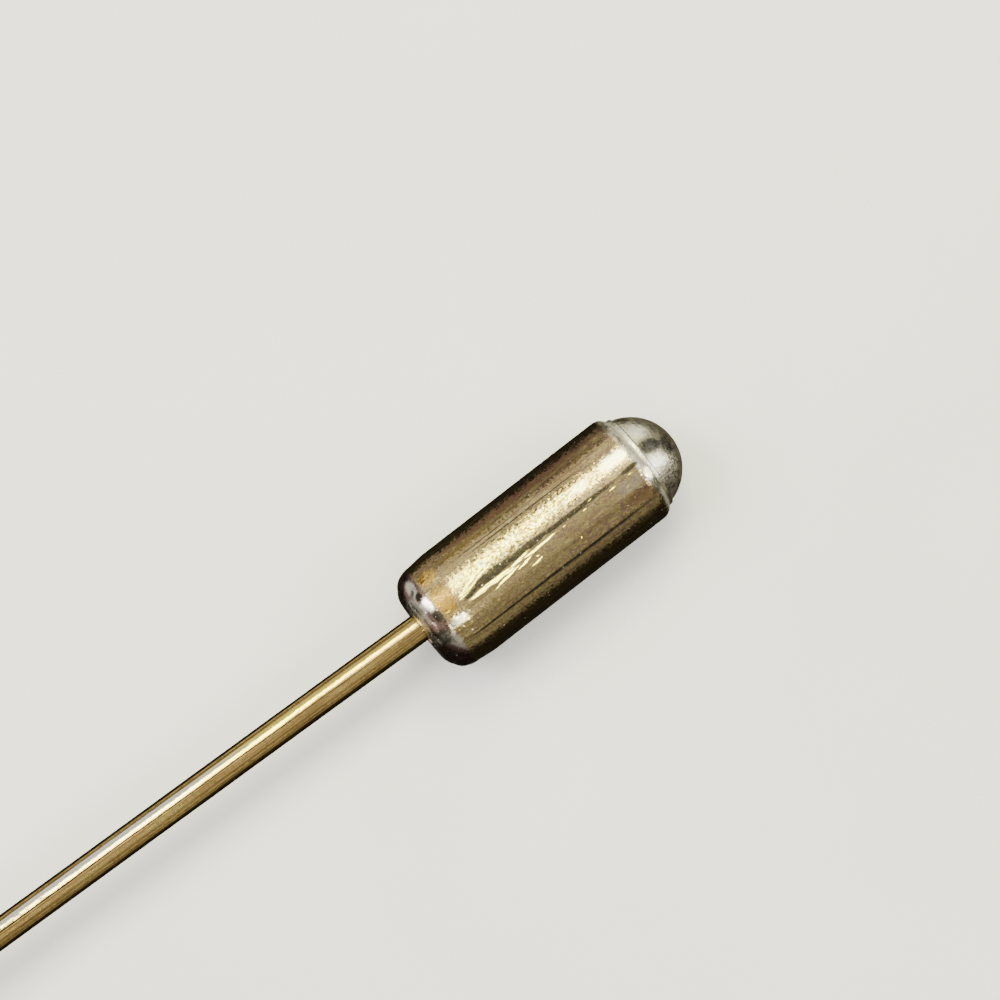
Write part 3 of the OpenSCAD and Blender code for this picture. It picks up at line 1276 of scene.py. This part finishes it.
@dataclass
class Studio:
    """A plain pale floor, soft panels, a dim room and the camera."""

    elevation_deg: float = 82.0
    bearing_deg: float = 36.27
    lens_mm: float = 150.0
    sensor_mm: float = 36.0
    clip_m: Pair = (0.01, 20.0)
    floor_half_m: float = 3.0
    floor_below_mm: float = 0.03
    # From the clutch's base face to the point that the panels are aimed at.
    aim_mm: float = 5.0
    panels: tuple[Panel, ...] = ()
    room_stops: tuple[tuple[float, str], ...] = ()

    def floor(self) -> bpy.types.Object:
        """Lays the floor just under the part.

        Returns:
            The floor. Metals don't mirror it, as dark cards round a piece of jewellery would keep it out.
        """
        mesh = bmesh.new()
        bmesh.ops.create_grid(mesh, x_segments=1, y_segments=1, size=self.floor_half_m)
        bmesh.ops.translate(mesh, verts=mesh.verts, vec=(0, 0, -self.floor_below_mm * MM))
        floor = finished(mesh, "floor", FloorPaper().make())
        floor.visible_glossy = False
        return floor

    def room(self) -> None:
        """Gives the room a soft grey that darkens in a band above the horizon and goes dark below it."""
        world = bpy.data.worlds.new("room")
        world.use_nodes = True
        tree = world.node_tree
        tree.nodes.clear()
        coords = add_node(tree, "TexCoord")
        height = add_node(tree, "SeparateXYZ", links={"Vector": coords.outputs["Generated"]})
        ends = {"From Min": -1.0, "From Max": 1.0}
        level = add_node(tree, "MapRange", ends, {"Value": height.outputs["Z"]})
        ramp = add_node(tree, "ValToRGB", links={"Fac": level})
        stops = ramp.color_ramp.elements
        for index, (level_at, colour) in enumerate(self.room_stops):
            stop = stops[index] if index < len(stops) else stops.new(level_at)
            stop.position, stop.color = level_at, linear(colour)
        back = add_node(tree, "Background", {"Strength": 1.0}, {"Color": ramp})
        add_node(tree, "OutputWorld", links={"Surface": back})
        bpy.context.scene.world = world

    def camera(self) -> bpy.types.Object:
        """Puts the camera where the photograph was taken from.

        Returns:
            The scene's camera, from which the clutch's base face lies at its pixel of the photograph.
        """
        bearing, tilt = math.radians(self.bearing_deg), math.radians(self.elevation_deg)
        right = Vector((math.cos(bearing), -math.sin(bearing), 0))
        level = math.cos(tilt)
        look = Vector((math.sin(bearing) * level, math.cos(bearing) * level, -math.sin(tilt)))
        up = right.cross(look)
        away = self.lens_mm / self.sensor_mm * FRAME_PX / PX_PER_MM
        aside = (BASE_FACE_PX[0] - FRAME_PX / 2) / PX_PER_MM
        above = (FRAME_PX / 2 - BASE_FACE_PX[1]) / PX_PER_MM
        place = Vector(CLUTCH_BASE_MM) - look * away - right * aside - up * above
        data = bpy.data.cameras.new("camera")
        data.lens, data.sensor_width = self.lens_mm, self.sensor_mm
        data.clip_start, data.clip_end = self.clip_m
        camera = bpy.data.objects.new("camera", data)
        face = Matrix((right, up, -look)).transposed().to_4x4()
        camera.matrix_world = Matrix.Translation(place * MM) @ face
        bpy.context.scene.collection.objects.link(camera)
        bpy.context.scene.camera = camera
        return camera

    def build(self) -> None:
        """Sets up everything that isn't the part."""
        self.floor()
        self.room()
        target = (Vector(CLUTCH_BASE_MM) + Vector((self.aim_mm, 0, 0))) * MM
        for panel in self.panels:
            panel.build(target)
            LOG.info("panel %s", panel.name)
        self.camera()


PANELS = (
    Panel("key", (14.5, 40), (-1, 34), 12.5, "#FBFFBE"),
    Panel("key_low", (-2, 14.5), (-1, 38), 1.1),
    Panel("key_skirt", (40, 76), (-20, 24), 0.45),
    Panel("left_key", (10, 45), (-42, -17), 12.0),
    Panel("left_gap", (-12, 46), (-14, -4), 0.9),
    Panel("left_side", (55, 95), (-16, -6), 1.0),
    Panel("far_end", (-35, 40), (-88, -48), 0.7),
    Panel("low_left", (-43, -25), (-15, -9), 15.0, "#FFFFDC"),
    Panel("low_right", (-62, -20), (36, 75), 4.0),
    Panel("right_spot", (-46, -28), (22, 36), 9.0),
    Panel("high_right", (55, 100), (20, 60), 1.5),
    Panel("far_left", (66, 115), (-62, -24), 0.8),
    Panel("back_glow", (98, 112), (-15, 25), 0.4),
    Panel("floor_fill", (-40, 40), (-40, 40), 0.9, distance_m=0.9, mirrored=False),
)

# The room's tones from straight down, 0, over the horizon, a half, to straight up, 1.
ROOM_STOPS = (
    (0.0, "#24221F"), (0.36, "#2C2A26"), (0.40, "#96958F"), (0.56, "#93928B"),
    (0.575, "#4C4840"), (0.605, "#4C4840"), (0.62, "#CAC8C3"), (0.70, "#B2B0AB"),
    (0.78, "#8B8984"), (0.90, "#C8C6C4"), (1.0, "#CCCAC8"),
)

MARKS = (
    *Mark.rows(
        Flaw.SCRATCH_AND_HIGHLIGHT,
        (1.62, -0.12, 0.17, 0.100, 30.0),
        (1.95, -0.07, 0.58, 0.060, 14.5),
        (1.92, 0.04, 0.54, 0.048, 15.6),
        (2.35, 0.18, 0.62, 0.028, 8.0, 0.8),
        (2.66, 0.11, 0.46, 0.036, 11.0, 0.9),
        (2.62, -0.38, 1.16, 0.100, 0.1),
        (3.72, -0.35, 0.70, 0.083, 10.0),
        (4.66, -0.36, 0.92, 0.064, 0.9),
        (3.22, -0.53, 0.88, 0.045, 9.0),
        (4.04, -0.49, 0.56, 0.052, 13.0),
        (4.30, -0.74, 0.37, 0.033, 8.4),
        (4.99, -0.22, 0.13, 0.032, 3.4, 0.9),
        (5.72, -0.35, 0.10, 0.026, 3.5, 0.6),
        (6.58, -0.34, 0.11, 0.032, 4.2, 0.8),
        (5.95, -0.26, 0.05, 0.036, -0.1, 0.7),
        (7.74, -0.34, 0.20, 0.030, 2.4, 0.6),
        (8.49, -0.32, 0.14, 0.030, 1.0, 0.6),
        (6.91, -0.19, 0.11, 0.028, 7.0, 0.5),
        (5.95, -1.01, 0.045, 0.038, 0.0, 0.9),
        (4.40, -0.60, 0.07, 0.036, 7.8, 0.7),
        (2.52, -0.98, 0.07, 0.035, 1.6, 0.5),
        (8.18, -0.62, 0.09, 0.050, 2.5, 0.4),
        (5.15, 0.99, 0.06, 0.036, 11.2, 0.5),
        (1.51, 0.27, 0.24, 0.040, 68.7, 0.6),
        (0.93, -0.23, 0.17, 0.037, -5.8, 0.5),
    ),
    *Mark.rows(
        Flaw.TARNISH_AND_DARK_REFLECTION,
        # The first five paint the dark reflection of the camera, a streak under the highlight.
        (2.85, -0.12, 1.36, 0.225, 0.9),
        (1.98, -0.215, 0.48, 0.105, 12.0),
        (4.25, -0.14, 1.35, 0.170, 0.9),
        (6.10, -0.17, 2.60, 0.120, -0.8),
        (8.60, -0.15, 0.48, 0.120, 1.6),
        # These two paint the dark reflection of the horizon, a line along the lower side.
        (5.10, -1.49, 4.58, 0.078, -0.5),
        (2.60, -1.47, 2.20, 0.060),
        (6.60, 1.68, 2.60, 0.26, 0.0, 0.25),
        (4.90, 0.90, 3.30, 0.046, -0.2, 1.0),
        (3.60, 1.06, 2.00, 0.038, 0.1, 0.9),
        # This one paints more of the horizon's dark reflection.
        (3.49, -1.29, 1.99, 0.027, -0.5, 0.35),
        (5.47, 0.77, 1.33, 0.027, -0.4, 0.4),
        (0.45, 0.84, 0.19, 0.24, 0.0, 0.9),
        (0.56, -0.14, 0.25, 0.29, -20.0),
        (0.30, -0.92, 0.34, 0.42, 0.0, 0.85),
        (8.80, 1.75, 0.24, 0.44, 0.0, 0.8),
        (8.98, 0.90, 0.10, 0.24, 0.0, 0.6),
        # These two paint the lip darker where it mirrors the dark room.
        (9.06, -1.24, 0.34, 0.40, 0.0, 0.85),
        (9.08, -0.22, 0.18, 0.34, 0.0, 0.35),
        (0.17, 0.84, 0.11, 0.70, 0.0, 0.5),
        (8.30, 1.72, 1.30, 0.24, 0.0, 0.35),
        (1.12, 0.60, 0.48, 0.24, 0.0, 0.75),
        (1.07, 0.12, 0.50, 0.80, 0.0, 0.25),
    ),
    *Mark.rows(
        Flaw.COPPER,
        (5.20, 1.73, 4.80, 0.28, 0.0, 0.9),
        (8.30, -1.10, 0.60, 0.34, 0.0, 0.6),
        (8.62, -1.22, 0.36, 0.34, 0.0, 0.6),
        (0.10, 0.70, 0.40, 1.30),
        (6.71, 1.35, 1.16, 0.62, 0.0, 0.35),
        (1.08, 1.66, 0.46, 0.16, 0.0, 0.6),
        (0.24, -0.95, 0.35, 0.52, 0.0, 0.5),
    ),
    *Mark.rows(
        # (6.92, 0.37), (8.39, 0.42) and (9.01, -0.09) paint the highlight whiter. (1.10, -0.70) paints the
        # small highlight by the base, which a panel also lights. The others are rubbed to the nickel.
        Flaw.SILVER_AND_HIGHLIGHT,
        (0.37, 1.35, 0.30, 0.62, -12.0, 0.6),
        (0.51, 0.40, 0.22, 0.42),
        (1.10, -0.70, 0.50, 0.20),
        (0.66, -1.25, 0.16, 0.50, 0.0, 0.7),
        (6.92, 0.37, 0.42, 0.22, 0.0, 0.6),
        (8.39, 0.42, 0.76, 0.32, 0.0, 0.9),
        (8.30, -0.62, 0.66, 0.30, 0.0, 0.3),
        (9.01, -0.09, 0.30, 0.43, 0.0, 0.6),
    ),
    *Mark.rows(
        Flaw.GOLD,
        (2.70, 1.34, 1.40, 0.20, 0.0, 0.35),
        (1.10, 1.22, 0.44, 0.40, 0.0, 0.85),
        (1.07, 0.18, 0.45, 0.74),
    ),
    *Mark.rows(
        Flaw.BLACK,
        (0.45, 0.86, 0.20, 0.22, 0.0, 0.85),
        (0.22, -0.92, 0.32, 0.42, 0.0, 0.5),
    ),
    # Paints a white highlight on the lip.
    Mark(Flaw.BURNISH_HIGHLIGHT, 9.08, -0.68, 0.34, 0.34, -30.0),
    # These two paint the highlight along the band that mirrors the key panel: its yellow tint, and dark
    # grains over it.
    Mark(Flaw.HIGHLIGHT_TINT, 4.20, 0.36, 3.20, 0.44),
    Mark(Flaw.HIGHLIGHT_DARK_GRAINS, 5.00, 0.40, 4.10, 0.56),
)

# The wire's marks paint a yellow tint along its highlight, a paler highlight far from the clutch, and one
# dark reflection line along it.
WIRE_MARKS = (
    Mark(Flaw.HIGHLIGHT_TINT, 38.0, 0.16, 14.0, 0.15),
    Mark(Flaw.SILVER_AND_HIGHLIGHT, 35.0, 0.18, 8.0, 0.17),
    Mark(Flaw.TARNISH_AND_DARK_REFLECTION, 28.0, -0.02, 30.0, 0.034),
)

BLOTCHES = (
    # The dome's dark blotches paint dark reflections, and its bright ones paint highlights.
    Blotch(Flaw.TARNISH_AND_DARK_REFLECTION, (9.62, 0.09, 1.50), (0.92, 0.42, 0.95), (0, 0, -20)),
    Blotch(Flaw.TARNISH_AND_DARK_REFLECTION, (10.10, -0.22, 1.20), (0.66, 0.42, 0.90), (0, 0, -42), 0.9),
    Blotch(Flaw.TARNISH_AND_DARK_REFLECTION, (9.40, -1.02, 1.15), (0.72, 0.50, 0.75), (0, 0, 0), 0.5),
    Blotch(Flaw.TARNISH_AND_DARK_REFLECTION, (9.60, 1.45, 0.90), (0.50, 0.35, 0.70), (0, 0, 0), 0.4),
    Blotch(Flaw.TARNISH_AND_DARK_REFLECTION, (10.35, -0.15, 1.05), (0.25, 0.50, 0.40), (0, 0, 0), 0.6),
    Blotch(Flaw.SCRATCH_AND_HIGHLIGHT, (9.50, -0.50, 1.45), (0.50, 0.22, 0.60), (0, 0, -20), 0.9),
    Blotch(Flaw.SCRATCH_AND_HIGHLIGHT, (9.60, 0.75, 1.30), (0.45, 0.35, 0.60), (0, 0, 10), 0.5),
)

DENTS = (
    Dent(0.30, -0.2, 0.30, 0.55, 0.09),
    Dent(0.25, 1.4, 0.35, 0.50, 0.06),
)


def dress(piece: bpy.types.Object, body: str, node: str) -> None:
    """Ties a piece to the frame.

    Args:
        piece: The finished piece.
        body: The body that it rides on.
        node: The CAD node that it stands for.
    """
    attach(piece, body)
    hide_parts(node)
    LOG.info("piece %s on %s: %d faces", piece.name, body, len(piece.data.polygons))


def main() -> None:
    """Builds the pin, the clutch and the studio."""
    logging.basicConfig(level=logging.INFO, format="%(name)s: %(message)s")
    dress(ButtonHead().build(), "pin", "head")
    dress(Stem(marks=WIRE_MARKS).build(), "pin", "stem")
    dress(ClutchCan(dents=DENTS, marks=MARKS).build(), "clutch", "clutch_shell")
    dress(ClutchCap(blotches=BLOTCHES).build(), "clutch", "clutch_cap")
    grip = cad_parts["clutch_grip"]
    grip.data.materials.clear()
    grip.data.materials.append(GripBrass().make())
    LOG.info("piece %s keeps its solid's mesh", grip.name)
    Studio(panels=PANELS, room_stops=ROOM_STOPS).build()


if __name__ == "__main__":
    main()
